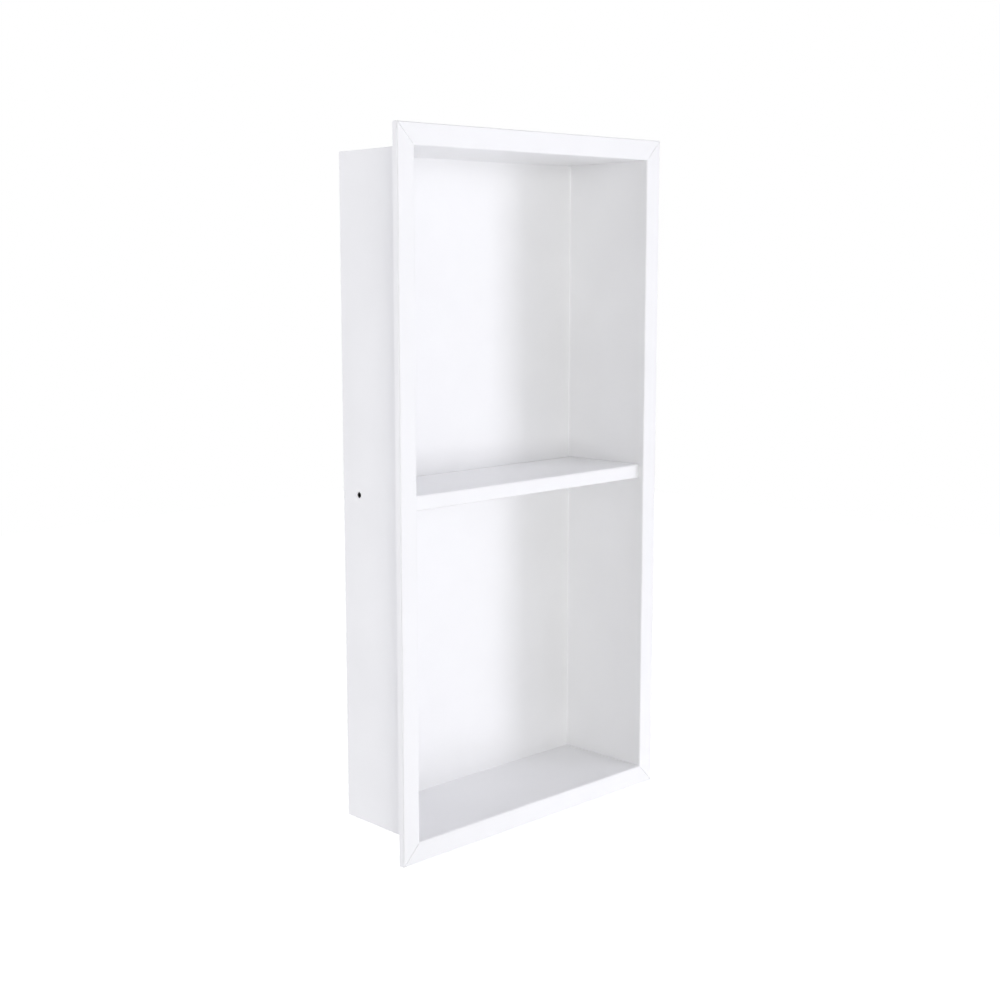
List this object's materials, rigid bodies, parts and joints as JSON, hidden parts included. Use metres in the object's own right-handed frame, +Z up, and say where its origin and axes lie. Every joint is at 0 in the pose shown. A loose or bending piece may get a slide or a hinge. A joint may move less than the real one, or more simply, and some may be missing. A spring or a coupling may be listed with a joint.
{
  "type": "shower niche",
  "caption": "Tall open-fronted white sheet-steel box for a wall recess, with a mitred front flange and a fixed shelf at mid height, for bottles and soap in a shower.",
  "frame": {"origin": "middle of the wall plane, where the returned edge of the flange seats on the finished wall", "axes": "+Z up, +Y into the wall, +X to the right of someone facing the niche"},
  "size_m": [0.3452, 0.1, 0.65],
  "materials": {
    "white_powder_coat": "satin white powder coat on folded steel sheet"
  },
  "bodies": {
    "root": {"niche_body": "white_powder_coat", "shelf": "white_powder_coat"}
  },
  "joints": []
}
